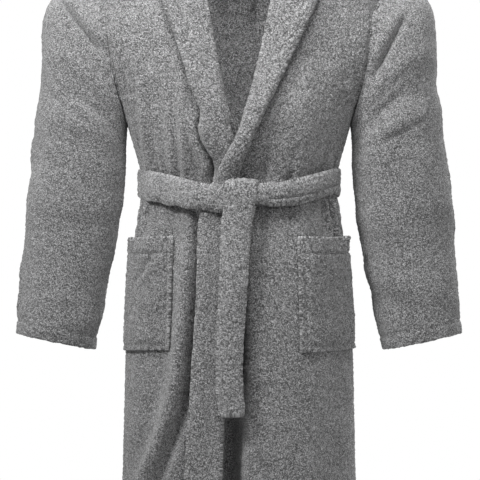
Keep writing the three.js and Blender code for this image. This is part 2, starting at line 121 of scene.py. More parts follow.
# The wearer's left front edge, where the collar rolls over, and the width of the turned collar.
roll_line = profile([
    (HEM_Z, -0.094), (-0.96, -0.088), (HIP_Z, -0.068), (WAIST_Z - 0.080, -0.065), (WAIST_Z - 0.046, -0.057),
    (WAIST_Z, -0.041), (WAIST_Z + 0.040, -0.025),
    (WAIST_Z + 0.089, 0.000), (WAIST_Z + 0.135, 0.016), (WAIST_Z + 0.191, 0.032), (-0.096, 0.061),
    (0, NECK_ROLL),
])
collar_width = profile([
    (HEM_Z, 0.060), (-0.96, 0.056), (HIP_Z, 0.048), (WAIST_Z - 0.08, 0.048), (WAIST_Z, 0.036),
    (WAIST_Z + 0.089, 0.024), (WAIST_Z + 0.191, 0.042), (-0.096, 0.074), (0, 0.078),
])


def armhole(z):
    """Half the depth of the armhole, front to back, at each height."""
    t = np.clip(np.abs((z - (ARMPIT_Z + TIP_Z) / 2) / ((TIP_Z - ARMPIT_Z) / 2)), 0, 1)
    return ARMHOLE_DEPTH * np.sqrt(1 - t**2.6)


def soft_armhole(z):
    """The same with gentle ends, for the cloth of the chest beside it."""
    return ARMHOLE_DEPTH * (0.5 + 0.5 * np.cos(np.pi * np.clip(np.abs((z + 0.19) / 0.16), 0, 1)))


def shoulder(x):
    """Height of the shoulder seam."""
    return TIP_Z * np.maximum((np.abs(x) - NECK_HALF) / (TIP_HALF - NECK_HALF), 0)


def body(angle, z):
    """The robe's middle surface: angle 0 is the front centre, 90 the wearer's left, 180 the back centre."""
    angle, z = np.broadcast_arrays(np.asarray(angle, float), np.asarray(z, float))
    sine, cosine = np.sin(np.radians(angle)), np.cos(np.radians(angle))
    x = half_width(z) * np.sign(sine) * np.abs(sine) ** (2 / SQUARENESS)
    rounded = np.clip((shoulder(x) - z) / SHOULDER_ROUND, 0, 1)
    turn = np.sqrt(1 - (1 - rounded) ** 2)
    inward = np.abs(cosine) ** (2 / SQUARENESS)
    hole = mix(soft_armhole(z), armhole(z), (1 - inward) ** 5)
    depth = half_depth(z) * inward + hole * (1 - inward) ** 1.4
    spread = 0.0003 + CLOTH / 2 * ease(np.abs(x), 0.8 * TIP_HALF, TIP_HALF)
    return np.stack([x, np.where(cosine >= 0, -1, 1) * (depth * turn + spread), z], -1)


def angle_at(x, z):
    """The angle of body() that gives x on the front half."""
    share = np.minimum(np.abs(x) / half_width(z), 1)
    return np.degrees(np.sign(x) * np.arcsin(share ** (SQUARENESS / 2)))


def overlap(x, z):
    """How far the upper front stands off the lower one."""
    near = 1 - ease(np.abs(x) / half_width(z), 0.5, 0.92)
    return OVERLAP_LIFT * near * (1 - ease(z, WAIST_Z + 0.11, WAIST_Z + 0.24))


# ---------------------------------------------------------------- noise and folds
def noise(u, v, size, seed):
    """Smooth random field, -1 to 1, over cloth coordinates in metres; size is (across, along)."""
    table = np.random.default_rng(seed).uniform(-1, 1, (128, 128))
    a, b = np.asarray(u) / size[0] + 37.2, np.asarray(v) / size[1] + 53.7
    i, j = np.floor(a).astype(int), np.floor(b).astype(int)
    s, t = a - i, b - j
    s, t = s * s * (3 - 2 * s), t * t * (3 - 2 * t)
    pick = lambda p, q: table[p % 128, q % 128]
    low = mix(pick(i, j), pick(i + 1, j), s)
    return mix(low, mix(pick(i, j + 1), pick(i + 1, j + 1), s), t)


def gathers(u, z, seed, reach=0.075, height=0.0052):
    """Small upright pleats where the belt draws the cloth in, above and below it."""
    near = np.exp(-np.abs(z - WAIST_Z) / reach)
    pleats = noise(u + 0.012 * noise(u, z, (0.09, 0.12), seed + 5), z, (0.015, 0.16), seed)
    return height * near * pleats


def drape(u, z, seed):
    """Soft upright folds of the skirt, fuller towards the hem, and slack cloth above the belt."""
    low = ease(WAIST_Z - z, 0.05, 0.55)
    high = ease(z, WAIST_Z + 0.02, WAIST_Z + 0.2)
    skirt = 0.0055 * low * noise(u + 0.03 * noise(u, z, (0.2, 0.4), seed + 3), z, (0.060, 0.80), seed)
    chest = 0.0028 * high * noise(u, z, (0.045, 0.14), seed + 1)
    lumps = 0.0010 * noise(u, z, (0.018, 0.024), seed + 2)
    return skirt + chest + lumps


# ---------------------------------------------------------------- cloth meshes
def normals_of(P, ring):
    across = np.roll(P, -1, 1) - np.roll(P, 1, 1) if ring else np.gradient(P, axis=1)
    N = np.cross(across, np.gradient(P, axis=0))
    return N / np.maximum(np.linalg.norm(N, axis=-1, keepdims=True), 1e-12)


def unit(v):
    return v / np.maximum(np.linalg.norm(v, axis=-1, keepdims=True), 1e-12)


def lengths(P):
    """Cloth coordinates of a grid: metres across from the middle column, and along from the first row."""
    across = np.concatenate([[0], np.cumsum(np.linalg.norm(np.diff(P, axis=1), axis=-1).mean(0))])
    along = np.concatenate([[0], np.cumsum(np.linalg.norm(np.diff(P, axis=0), axis=-1).mean(1))])
    return np.meshgrid(across, along)


RIM = np.radians([40, 90, 140])  # steps round the side edges
CAP = np.radians([40, 70])  # steps round the end edges


def thick_cloth(name, P, thick, material, ring=False, pile=PILE, seed=1, side=1, uv=None):
    """One closed piece of cloth round the middle surface P[row, column], with rounded edges and a rough pile.

    uv holds the coordinates in metres that the weave or pile follows. Terry takes its place at rest, so its
    loops are even all over. Tape takes lengths along its own threads.
    """
    rng = np.random.default_rng(seed)
    N = normals_of(P, ring)
    if uv is None and material is TAPE:
        U, V = lengths(P)
        uv = np.stack([U, V, 0 * U], -1)
    uv = P if uv is None else uv
    half = np.broadcast_to(np.asarray(thick, float) / 2, P.shape[:2]).copy()
    if ring:  # then the open edges are at the two ends of the rows, so the grid is turned
        P, N = P.swapaxes(0, 1), N.swapaxes(0, 1)
        half, uv = half.T, uv.swapaxes(0, 1)
    rows, columns = P.shape[:2]
    h = half[..., None]
    first, last = unit(P[:, 0] - P[:, 1]), unit(P[:, -1] - P[:, -2])
    rim_last = [P[:, -1] + (N[:, -1] * math.cos(a) + last * math.sin(a)) * h[:, -1] for a in RIM]
    rim_first = [P[:, 0] + (-N[:, 0] * math.cos(a) + first * math.sin(a)) * h[:, 0] for a in RIM]
    loop = np.concatenate(
        [P + N * h, np.stack(rim_last, 1), (P - N * h)[:, ::-1], np.stack(rim_first, 1)], 1
    )
    k = len(RIM)
    ends = lambda A: np.concatenate([A, np.repeat(A[:, -1:], k, 1), A[:, ::-1], np.repeat(A[:, :1], k, 1)], 1)
    mid, size, uv = ends(P), ends(half)[..., None], ends(uv)
    rough = rng.uniform(-1, 1, loop.shape[:2])
    rough = 0.8 * rough + 0.2 * np.roll(rough, 1, 0)
    loop = loop + unit(loop - mid) * (pile * rough)[..., None]
    loop = loop + rng.uniform(-0.45, 0.45, loop.shape) * pile
    if not ring:
        down, up = unit(mid[:1] - mid[1:2]), unit(mid[-1:] - mid[-2:-1])

        def cap(j, way, a):
            row, middle = loop[j:][:1], mid[j:][:1]
            return middle + (row - middle) * math.cos(a) + way * size[j:][:1] * math.sin(a)

        low = [cap(0, down, a) for a in CAP[::-1]]
        high = [cap(rows - 1, up, a) for a in CAP]
        loop = np.concatenate(low + [loop] + high)
        uv = np.concatenate([uv[:1]] * len(CAP) + [uv] + [uv[-1:]] * len(CAP))
    total, around = loop.shape[:2]
    index = np.arange(total * around).reshape(total, around)
    below = index if ring else index[:-1]
    above = np.roll(index, -1, 0) if ring else index[1:]
    quads = np.stack([below, np.roll(below, -1, 1), np.roll(above, -1, 1), above], -1).reshape(-1, 4)
    faces = quads.tolist()
    if not ring:
        outer = np.arange(columns)
        inner = 2 * columns + k - 1 - outer
        for row, turn in ((0, -1), (total - 1, 1)):
            base = row * around
            strip = np.stack([outer[:-1], outer[1:], inner[1:], inner[:-1]], -1) + base
            faces += strip[:, ::turn].tolist()
            right = [columns - 1, *range(columns, columns + k), columns + k]
            left = [2 * columns + k - 1, *range(2 * columns + k, 2 * columns + 2 * k), 0]
            for corner in (right, left):
                faces.append([base + c for c in corner[::turn]])
    points = loop.reshape(-1, 3).copy()
    points[:, 0] *= side
    mesh = bpy.data.meshes.new(name)
    mesh.from_pydata(points.tolist(), [], faces)
    mesh.update()
    if volume(mesh) < 0:
        mesh.flip_normals()
    mesh.shade_smooth()
    attribute = mesh.attributes.new("cloth", "FLOAT_VECTOR", "POINT")
    attribute.data.foreach_set("vector", uv.astype(np.float32).ravel())
    mesh.materials.append(material)
    piece = bpy.data.objects.new(name, mesh)
    bpy.context.scene.collection.objects.link(piece)
    return piece


def volume(mesh):
    mesh.calc_loop_triangles()
    corners = np.empty(len(mesh.loop_triangles) * 3, np.int32)
    mesh.loop_triangles.foreach_get("vertices", corners)
    places = np.empty(len(mesh.vertices) * 3, np.float32)
    mesh.vertices.foreach_get("co", places)
    a, b, c = places.reshape(-1, 3)[corners.reshape(-1, 3)].swapaxes(0, 1)
    return float((a * np.cross(b, c)).sum() / 6)


def raised(P, amount, ring=False):
    return P + normals_of(P, ring) * np.asarray(amount)[..., None]


def puffed(middle, edge, across, width, reach):
    """Thickness of soft doubled cloth: middle inside, rounding down to edge over reach at both sides."""
    near = np.clip(np.minimum(across, width - across) / reach, 0, 1)
    return edge + (middle - edge) * np.sqrt(1 - (1 - near) ** 2)


def finish_piece(piece, body_name, slot_name, *nodes):
    """The piece rides on a body and stands for CAD nodes; slot_name is not used."""
    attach(piece, body_name)
    if nodes:
        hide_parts(*nodes)


def smooth_paths(points, count):
    """Smooth curves through points[k, column], resampled to count rows at even spacing on average."""
    points = np.asarray(points, float)
    chord = np.linalg.norm(np.diff(points, axis=0), axis=-1)
    chord = chord.reshape(len(chord), -1).mean(1)
    knots = np.concatenate([[0], np.cumsum(chord)])
    i = np.arange(len(knots))
    before, after = np.maximum(i - 1, 0), np.minimum(i + 1, len(knots) - 1)
    spread = (knots[after] - knots[before]).reshape(-1, *[1] * (points.ndim - 1))
    slope = (points[after] - points[before]) / spread
    t = np.linspace(0, knots[-1], count)
    j = np.clip(np.searchsorted(knots, t, side="right") - 1, 0, len(knots) - 2)
    span = (knots[j + 1] - knots[j]).reshape(-1, *[1] * (points.ndim - 1))
    t = ((t - knots[j]).reshape(span.shape)) / span
    return (
        points[j] * (2 * t**3 - 3 * t**2 + 1)
        + slope[j] * span * (t**3 - 2 * t**2 + t)
        + points[j + 1] * (3 * t**2 - 2 * t**3)
        + slope[j + 1] * span * (t**3 - t**2)
    )


# ---------------------------------------------------------------- materials
def terry(name, tone, loop=0.0022, contrast=1.0):
    """Looped cotton pile: a pebbled height, a random tint per loop and soft blotches of its own, and painted
    shade of the pile: light loop tips and raised tufts over dark gaps.
    """
    material = bpy.data.materials.new(name)
    material.use_nodes = True
    nodes, links = material.node_tree.nodes, material.node_tree.links
    nodes.clear()
    out = nodes.new("ShaderNodeOutputMaterial")
    shader = nodes.new("ShaderNodeBsdfPrincipled")
    links.new(shader.outputs[0], out.inputs["Surface"])
    shader.inputs["Roughness"].default_value = 0.95
    shader.inputs["Specular IOR Level"].default_value = 0.15
    shader.inputs["Sheen Weight"].default_value = 0.35
    shader.inputs["Sheen Roughness"].default_value = 0.6
    at = nodes.new("ShaderNodeAttribute")
    at.attribute_name = "cloth"

    def math_node(kind, a, b=None):
        node = nodes.new("ShaderNodeMath")
        node.operation = kind
        for socket, value in zip(node.inputs, (a, b)):
            if value is None:
                continue
            if isinstance(value, (int, float)):
                socket.default_value = value
            else:
                links.new(value, socket)
        return node.outputs[0]

    def noise_node(vector, scale, detail=2.0, rough=0.5):
        node = nodes.new("ShaderNodeTexNoise")
        links.new(vector, node.inputs["Vector"])
        node.inputs["Scale"].default_value = scale
        node.inputs["Detail"].default_value = detail
        node.inputs["Roughness"].default_value = rough
        return node.outputs["Fac"]

    cells = nodes.new("ShaderNodeTexVoronoi")
    links.new(at.outputs["Vector"], cells.inputs["Vector"])
    cells.inputs["Scale"].default_value = 1 / loop
    tint = nodes.new("ShaderNodeRGBToBW")
    links.new(cells.outputs["Color"], tint.inputs[0])
    tip = math_node("SUBTRACT", 1.0, cells.outputs["Distance"])
    fuzz = noise_node(at.outputs["Vector"], 1.25 / loop, 2.0, 0.6)
    clump = noise_node(at.outputs["Vector"], 0.50 / loop, 2.0)
    blotch = noise_node(at.outputs["Vector"], 16, 2.0)

    def weighed(value, middle, weight):
        return math_node("MULTIPLY", math_node("SUBTRACT", value, middle), weight)

    # Colour factor: the random tint and the blotches are the cloth's own; tip, fuzz and clump also make the
    # bump's height, so they paint shade of the pile, light on its tops and dark in its gaps.
    light = math_node("ADD", 1.0, weighed(tint.outputs[0], 0.5, 1.5 * contrast))
    for value, middle, weight in (
        (tip, 0.62, 1.3), (fuzz, 0.5, 3.6), (clump, 0.5, 1.0), (blotch, 0.5, 0.4),
    ):
        light = math_node("ADD", light, weighed(value, middle, weight * contrast))
    light = math_node("MAXIMUM", light, 0.2)
    shade = nodes.new("ShaderNodeVectorMath")
    shade.operation = "SCALE"
    shade.inputs[0].default_value = tone
    links.new(light, shade.inputs["Scale"])
    links.new(shade.outputs[0], shader.inputs["Base Color"])
    height = math_node("ADD", math_node("MULTIPLY", tip, 0.55), math_node("MULTIPLY", fuzz, 0.8))
    height = math_node("ADD", height, math_node("MULTIPLY", clump, 0.7))
    bump = nodes.new("ShaderNodeBump")
    bump.inputs["Strength"].default_value = 1.0
    bump.inputs["Distance"].default_value = 0.0024
    links.new(height, bump.inputs["Height"])
    links.new(bump.outputs[0], shader.inputs["Normal"])
    return material


def tape_cloth(name, tone):
    """Plain woven cotton tape: fine crossed threads, with painted shade that darkens the colour between them.
    """
    material = bpy.data.materials.new(name)
    material.use_nodes = True
    nodes, links = material.node_tree.nodes, material.node_tree.links
    shader = nodes["Principled BSDF"]
    shader.inputs["Roughness"].default_value = 0.8
    shader.inputs["Sheen Weight"].default_value = 0.15
    at = nodes.new("ShaderNodeAttribute")
    at.attribute_name = "cloth"
    heights = []
    for axis in ("X", "Y"):
        threads = nodes.new("ShaderNodeTexWave")
        threads.wave_type = "BANDS"
        threads.bands_direction = axis
        threads.inputs["Scale"].default_value = 340
        threads.inputs["Distortion"].default_value = 0.6
        links.new(at.outputs["Vector"], threads.inputs["Vector"])
        heights.append(threads.outputs["Fac"])
    weave = nodes.new("ShaderNodeMath")
    weave.operation = "MULTIPLY"
    links.new(heights[0], weave.inputs[0])
    links.new(heights[1], weave.inputs[1])
    # Painted shade of the weave: the colour falls to 0.62 of the tone where the weave's height is low,
    # between the threads.
    ramp = nodes.new("ShaderNodeMix")
    ramp.data_type = "RGBA"
    links.new(weave.outputs[0], ramp.inputs["Factor"])
    ramp.inputs["A"].default_value = (*[0.62 * c for c in tone], 1)
    ramp.inputs["B"].default_value = (*tone, 1)
    links.new(ramp.outputs["Result"], shader.inputs["Base Color"])
    bump = nodes.new("ShaderNodeBump")
    bump.inputs["Strength"].default_value = 0.5
    bump.inputs["Distance"].default_value = 0.0004
    links.new(weave.outputs[0], bump.inputs["Height"])
    links.new(bump.outputs[0], shader.inputs["Normal"])
    return material


GREY = (0.165, 0.165, 0.167)
TERRY = terry("terry", GREY, loop=0.0020, contrast=1.2)
BELT_TERRY = terry("belt_terry", tuple(1.06 * c for c in GREY))
TAPE = tape_cloth("tape", (0.20, 0.20, 0.205))

# ---------------------------------------------------------------- body panels
STRAIGHT_ROWS = 0.72  # share of a panel's rows that lie below its rounded shoulder
SEAM_ANGLE = 89.85  # the side seam, just short of 90 so that front and back don't touch


def row_height(v, top):
    """Height of the row at share v of the way up, in a panel whose upper edge is at top."""
    straight = mix(HEM_Z, top - SHOULDER_ROUND, v / STRAIGHT_ROWS)
    turn = np.clip((v - STRAIGHT_ROWS) / (1 - STRAIGHT_ROWS), 0, 1)
    rounded = top - SHOULDER_ROUND * (1 - np.sin(np.radians(turn * 89.6)))
    return np.where(v <= STRAIGHT_ROWS, straight, rounded)


def panel_grid(angle_of, top_of, columns):
    """Angles and heights of a panel whose columns follow angle_of(u, z), up to its upper edge top_of(x)."""
    low = np.linspace(0, STRAIGHT_ROWS, int((-HEM_Z - SHOULDER_ROUND) / STEP))
    v = np.concatenate([low, np.linspace(STRAIGHT_ROWS, 1, 40)[1:]])[:, None]
    u = np.linspace(0, 1, columns)[None, :]
    z = row_height(v, np.zeros_like(u))
    for _ in range(14):
        z = row_height(v, top_of(body(angle_of(u, z), z)[..., 0]))
    return angle_of(u, z), z


PER_DEGREE = 0.0030  # metres of cloth for each degree round the body
# The long fold of the lower front, from under the belt to the hem.
RIDGE_X = profile([
    (HEM_Z, -0.208), (-0.96, -0.166), (-0.872, -0.134), (-0.803, -0.114), (-0.709, -0.103),
    (-0.584, -0.092), (-0.46, -0.082),
])
COLLAR_BOTTOM = WAIST_Z - 0.030
# The lower front's lapel, which lies under the other one.
UNDER_ROLL = profile([
    (COLLAR_BOTTOM, -0.052), (WAIST_Z, -0.036), (WAIST_Z + 0.040, -0.015), (WAIST_Z + 0.092, 0.016),
    (WAIST_Z + 0.121, 0.023), (WAIST_Z + 0.191, 0.036), (WAIST_Z + 0.26, 0.049), (-0.096, 0.061),
    (0, NECK_ROLL),
])
UNDER_WIDTH = profile([
    (COLLAR_BOTTOM, 0.090), (WAIST_Z, 0.078), (WAIST_Z + 0.03, 0.062), (WAIST_Z + 0.071, 0.056),
    (WAIST_Z + 0.094, 0.050), (WAIST_Z + 0.124, 0.040), (WAIST_Z + 0.168, 0.048),
    (WAIST_Z + 0.251, 0.059), (-0.096, 0.072), (0, 0.078),
])
# Pleats that the belt leaves above each pocket: angle from the front centre, and height.
LEFT_TUCKS = ((57, 0.006), (62.5, -0.016), (68, 0.007), (73, -0.017), (78, 0.004))
RIGHT_TUCKS = ((66, 0.005), (72, -0.017), (78, 0.004))
CHEST_PLEATS = (-0.166, -0.123, -0.099)
VALLEY_DEPTH = 0.064  # the open fold beside the upper front's band
UNDER_VALLEY = 0.070  # how far the lower front lies back behind it


def front_fold(angle, z, side):
    """How far the folds move a front panel outward. angle is measured towards its own side seam."""
    x = side * body(angle, z)[..., 0]
    s = side * angle * PER_DEGREE
    middle = bell(x, 0, 0.10) * ease(-z, 0.40, 0.50)
    fold = (1 - 0.75 * middle) * drape(s, z, 11) + gathers(s, z, 21)
    if side > 0:
        edge = roll_line(z) + collar_width(z)
        valley = ease(x - edge, -0.024, 0.002) * (1 - ease(x - edge, 0.018, 0.050))
        fold = fold - VALLEY_DEPTH * ease(-z, 0.52, 0.80) * valley
        tucked = ease(-z, 0.445, 0.462) * (1 - ease(-z, 0.515, 0.560))
        for place, height in LEFT_TUCKS:
            fold = fold + height * tucked * bell(angle + 40 * (z + 0.48), place, 2.4)
    else:
        ridge = 0.011 * ease(-z, 0.45, 0.49) + 0.012 * ease(-z, 0.55, 0.80)
        away = x - RIDGE_X(z)
        fold = fold + ridge * bell(away, 0, 0.014) - 0.38 * ridge * bell(away, 0.026, 0.011)
        fold = fold - 0.30 * ridge * bell(away, -0.034, 0.020)
        fold = fold - UNDER_VALLEY * ease(-z, 0.50, 0.78) * bell(x, -0.013, 0.042)
        chest = bell(z, -0.33, 0.10)
        for place in CHEST_PLEATS:
            fold = fold + 0.0085 * chest * bell(x, place - 0.10 * (z + 0.33) * (x / -0.15), 0.0075)
        tucked = ease(-z, 0.460, 0.475) * (1 - ease(-z, 0.515, 0.560))
        for place, height in RIGHT_TUCKS:
            fold = fold + height * tucked * bell(angle, place, 2.4)
        lapel = x + UNDER_ROLL(z) + UNDER_WIDTH(z)
        beside = ease(z, WAIST_Z - 0.01, WAIST_Z + 0.03) * (1 - ease(z, WAIST_Z + 0.08, WAIST_Z + 0.15))
        fold = fold + beside * (0.007 * bell(lapel, -0.018, 0.009) - 0.011 * bell(lapel, -0.002, 0.006))
    calm = (1 - ease(np.abs(angle), 80, 88.5)) * (1 - ease(z, -0.14, -0.08))
    return fold * calm


def back_fold(angle, z):
    """How far the folds move the back panel outward."""
    s = angle * PER_DEGREE
    calm = ease(90 - np.abs(angle - 180), 0.5, 12) * (1 - ease(z, -0.14, -0.08))
    low = 1 + 0.8 * ease(WAIST_Z - z, 0.05, 0.6)
    return calm * (low * drape(s, z, 31) + 1.2 * gathers(s, z, 41, reach=0.12, height=0.004))


def hem_thickness(z, groove=0.0016):
    """Cloth thickness with a turned bottom hem and its stitch line pulled in."""
    hem_top = HEM_Z + HEM_DEPTH
    doubled = CLOTH + 0.0028 * (1 - ease(z, hem_top - 0.002, hem_top + 0.002))
    return doubled - groove * bell(z, hem_top, 0.0026)


def cinch(z):
    """How far the belt draws the robe in."""
    return 0.005 * bell(z, WAIST_Z, 0.026)


def front_surface(angle, z, side, lift=0.0):
    """The displaced outer reference of one front, with lift added: the pieces that lie on it use it too."""
    P = body(angle, z)
    stand = front_fold(angle, z, side) - cinch(z) + (overlap(P[..., 0], z) if side > 0 else 0)
    N = normals_of(P, False)
    return P + N * (stand + lift)[..., None]


def make_front(name, side):
    edge = lambda z: angle_at(roll_line(z) + 0.006, z)
    angle, z = panel_grid(lambda u, z: mix(edge(z), SEAM_ANGLE, u), shoulder, 104)
    P = front_surface(angle, z, side)
    thick = hem_thickness(z)
    piece = thick_cloth(f"{name}_cloth", P, thick, TERRY, seed=3 + side, side=side)
    hem = "hem_left" if side > 0 else "hem_right"
    finish_piece(piece, "robe", "terry", name, hem)


def make_back():
    neck = lambda x: shoulder(x) - BACK_NECK_DROP * np.maximum(1 - (x / NECK_HALF) ** 2, 0)
    span = lambda u, z: mix(180 - SEAM_ANGLE, 180 + SEAM_ANGLE, u) + 0 * z
    angle, z = panel_grid(span, neck, 168)
    P = raised(body(angle, z), back_fold(angle, z) - cinch(z))
    thick = hem_thickness(z)
    piece = thick_cloth("back_panel_cloth", P, thick, TERRY, seed=7)
    finish_piece(piece, "robe", "terry", "back_panel", "hem_back")


# ---------------------------------------------------------------- sleeves
SLEEVE_SECTIONS = [  # share of the way down, centre x, half width, slant, half depth
    (0.09, 0.273, 0.065, 0.124, 0.071),
    (0.29, 0.285, 0.076, 0.064, 0.070),
    (0.54, 0.300, 0.081, 0.030, 0.066),
    (0.80, 0.318, 0.076, 0.015, 0.061),
    (1.00, 0.332, 0.070, 0.015, 0.057),
]
SLEEVE_GIRTH = 0.46
SLEEVE_GAP = 0.0032  # from the armhole's seam to the sleeve
CUFF_HEM = 0.021
SLEEVE_CREASES = {  # on each sleeve's front: from, to and depth, in |x| and z
    1: [((0.297, -0.130), (0.250, -0.220), 0.012), ((0.335, -0.310), (0.262, -0.352), 0.0028)],
    -1: [((0.315, -0.104), (0.254, -0.182), 0.015), ((0.335, -0.270), (0.262, -0.330), 0.0028)],
}


def sleeve_grid(columns, rows):
    """Each column's angle round the sleeve, and its middle surface as rings from armhole to cuff."""
    turn = np.linspace(0, 2 * np.pi, columns, endpoint=False)
    middle, reach = (ARMPIT_Z + TIP_Z) / 2, (TIP_Z - ARMPIT_Z) / 2
    z = middle + reach * np.cos(turn) * 0.985
    depth = np.abs(body(SEAM_ANGLE, z)[..., 1]) * np.minimum(np.abs(np.sin(turn)) * 40, 1)
    start = np.stack(
        [half_width(z) + SLEEVE_GAP, -np.sign(np.sin(turn)) * depth, z - CLOTH * (1 - np.cos(turn))], -1
    )
    loops = [start]
    for share, centre, half, slant, deep in SLEEVE_SECTIONS:
        loops.append(np.stack([
            centre + half * np.cos(turn), -deep * np.sin(turn),
            mix(middle, CUFF_Z, share) + slant * np.cos(turn),
        ], -1))
    return turn, smooth_paths(loops, rows)


def sleeve_fold(turn, along, seed):
    """Slack folds of a hanging sleeve: creases that start under the arm, and broad slanting ones below."""
    s = turn / (2 * np.pi) * SLEEVE_GIRTH
    wrap = 0.5 + 0.5 * np.cos(turn)
    field = 0
    for k, weight in ((0, 1.0), (1, 0.55)):
        size = (0.075 / (1 + k), 0.30 / (1 + k))
        slant = along + (0.55 - 0.2 * k) * s
        a = noise(slant, s, size, seed + 9 * k)
        b = noise(slant + SLEEVE_GIRTH * (0.55 - 0.2 * k), s - SLEEVE_GIRTH, size, seed + 9 * k)
        field = field + weight * mix(a, b, ease(turn, 4.4, 2 * np.pi))
    fold = 0.0062 * field * ease(along, 0.02, 0.14) * (0.5 + 0.5 * ease(0.62 - along, 0.0, 0.12))
    front = np.exp(-((turn - np.pi / 2) / 0.9) ** 2)
    for place, height in ((0.055, 0.0060), (0.105, -0.0055), (0.150, 0.0040)):
        line = along - place - 0.055 * np.cos(turn)
        fold = fold + height * front * np.exp(-((line / 0.014) ** 2))
    inner = ease(-np.cos(turn), 0.3, 0.9) * (1 - ease(along, 0.10, 0.30))
    return fold * (1 - 0.85 * inner) * (0.35 + 0.65 * ease(wrap + 0.5, 0, 1))


def sleeve_creases(P, side):
    """Sharp creases beside the armhole, on the front of the sleeve only."""
    creases = 0
    for (x0, z0), (x1, z1), depth in SLEEVE_CREASES[side]:
        run = np.hypot(x1 - x0, z1 - z0)
        ahead = ((P[..., 0] - x0) * (x1 - x0) + (P[..., 2] - z0) * (z1 - z0)) / run
        off = ((P[..., 0] - x0) * (z1 - z0) - (P[..., 2] - z0) * (x1 - x0)) / run
        inside = ease(ahead, -0.02, 0.015) * (1 - ease(ahead, run - 0.015, run + 0.02)) * (P[..., 1] < 0)
        creases = creases + inside * depth * (0.5 * bell(off, 0.014, 0.008) - bell(off, 0, 0.0055))
    return creases


def make_sleeve(name, side):
    turn, P = sleeve_grid(130, 166)
    along = np.concatenate([[0], np.cumsum(np.linalg.norm(np.diff(P, axis=0), axis=-1).mean(1))])[:, None]
    turn = turn[None, :] + 0 * along
    along = along + 0 * turn
    length = along.max()
    head = 0.012 * bell(along, 0.060, 0.050) * np.clip(np.cos(turn), 0, 1) ** 1.5
    P = raised(P, sleeve_fold(turn, along, 51 + side) + head + sleeve_creases(P, side), ring=True)
    hem = length - CUFF_HEM
    thick = CLOTH + 0.0016 * ease(along, hem - 0.001, hem + 0.004) - 0.0014 * bell(along, hem, 0.0026)
    P = raised(P, -0.0008 * bell(along, hem, 0.004), ring=True)
    pile = 0.7 * PILE  # the rows slant at the sleeve's head, so coarse lumps would show as streaks
    piece = thick_cloth(f"{name}_cloth", P, thick, TERRY, ring=True, pile=pile, seed=9 + side, side=side)
    seam = np.array([half_width(TIP_Z) - half_width(ARMPIT_Z), 0, TIP_Z - ARMPIT_Z], float)
    out = np.array([seam[2], 0, -seam[0]]) / np.linalg.norm(seam)  # square to the armhole's seam
    foot = np.array([float(half_width(ARMPIT_Z)), 0, ARMPIT_Z]) + 0.006 * out
    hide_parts(name, f"cuff_hem_{name.split('_')[1]}")
    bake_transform(piece)


# ---------------------------------------------------------------- collar and front bands
COLLAR_LENGTH = 0.80
COLLAR_FALL_X = NECK_HALF + 0.062  # the free edge's place on the shoulder
# Which way the collar bulges at each of its four stations round the neck.
COLLAR_CROWN = ((0.35, 0, 0.9), (0.3, 0, 0.95), (0.25, 0.5, 0.8), (0, 0.8, 0.6))


def make_collar(name, side):
    roll, width = (roll_line, collar_width) if side > 0 else (UNDER_ROLL, UNDER_WIDTH)
    t = np.linspace(0, 1, 24)
    z = np.linspace(COLLAR_BOTTOM, -0.058, 60)[:, None] + 0 * t
    angle = angle_at(roll(z) + t * width(z), z)
    upper = mix(0.35, 1, ease(z, -0.42, -0.34))
    flare = 0.010 if side > 0 else 0.005  # how far the free edge lifts
    stand = COLLAR_LIFT + 0.0045 * bell(t, 0.4, 0.4) * ease(-z, 0.20, 0.30)
    stand = stand + 0.0035 * bell(t, 0.22, 0.25) + flare * ease(t, 0.1, 0.8) * upper
    stand = stand - 0.0022 * bell(t, 0.66, 0.07) * ease(z, -0.30, -0.2)
    front = front_surface(angle, z, side, stand)
    share = t
    t = t[:, None]
    over = lambda inner, outer: mix(np.array(inner), np.array(outer), t)
    back = [
        over((NECK_HALF - 0.020, -0.068, -0.010), (COLLAR_FALL_X, -0.074, -0.028)),
        over((NECK_ROLL, 0, 0.024), (COLLAR_FALL_X + 0.003, 0, -0.008)),
        over((NECK_HALF - 0.033, 0.046, 0.034), (COLLAR_FALL_X - 0.033, 0.084, -0.034)),
        over((0.0010, 0.066, 0.038), (0.0010, 0.116, -0.056)),
    ]
    crown = 4 * t * (1 - t)
    for loop, way in zip(back, COLLAR_CROWN):
        loop += np.array(way) * 0.007 * crown
    P = smooth_paths(np.concatenate([front, np.stack(back)]), int(COLLAR_LENGTH / STEP))
    across, along = share * 0.07 + 0 * P[..., 0], np.linspace(0, COLLAR_LENGTH, len(P))[:, None]
    P = raised(P, 0.0016 * noise(across, along, (0.035, 0.06), 61 + side))
    thick = puffed(0.0135, 0.0080, share, 1, 0.3) + 0 * P[..., 0]
    piece = thick_cloth(f"{name}_cloth", P, thick, TERRY, seed=13 + side, side=side)
    finish_piece(piece, "robe", "terry", name)


def make_collar_stand():
    """The stand of the collar: the inner strip from the neck seam up to the roll, round the neck."""
    stations = [  # foot on the neck seam, then top under the roll, on the wearer's left
        ((0.078, -0.070, -0.040), (0.073, -0.070, -0.022)),
        ((NECK_HALF - 0.006, 0, -0.002), (NECK_HALF - 0.014, 0, 0.019)),
        ((0.067, 0.038, -0.012), (0.062, 0.043, 0.029)),
        ((0.000, 0.0605, -0.024), (0.000, 0.0635, 0.033)),
    ]
    mirrored = [tuple((-x, y, z) for x, y, z in pair) for pair in stations[:3]]
    pairs = np.array(stations + mirrored[::-1])
    t = np.linspace(0, 1, 12)[:, None]
    grid = mix(pairs[:, 0][:, None], pairs[:, 1][:, None], t)
    P = smooth_paths(grid, 90).swapaxes(0, 1)
    piece = thick_cloth("collar_stand_cloth", P, CLOTH * 0.8, TERRY, seed=17)
    finish_piece(piece, "robe", "terry")


BAND_LENGTH = 0.745


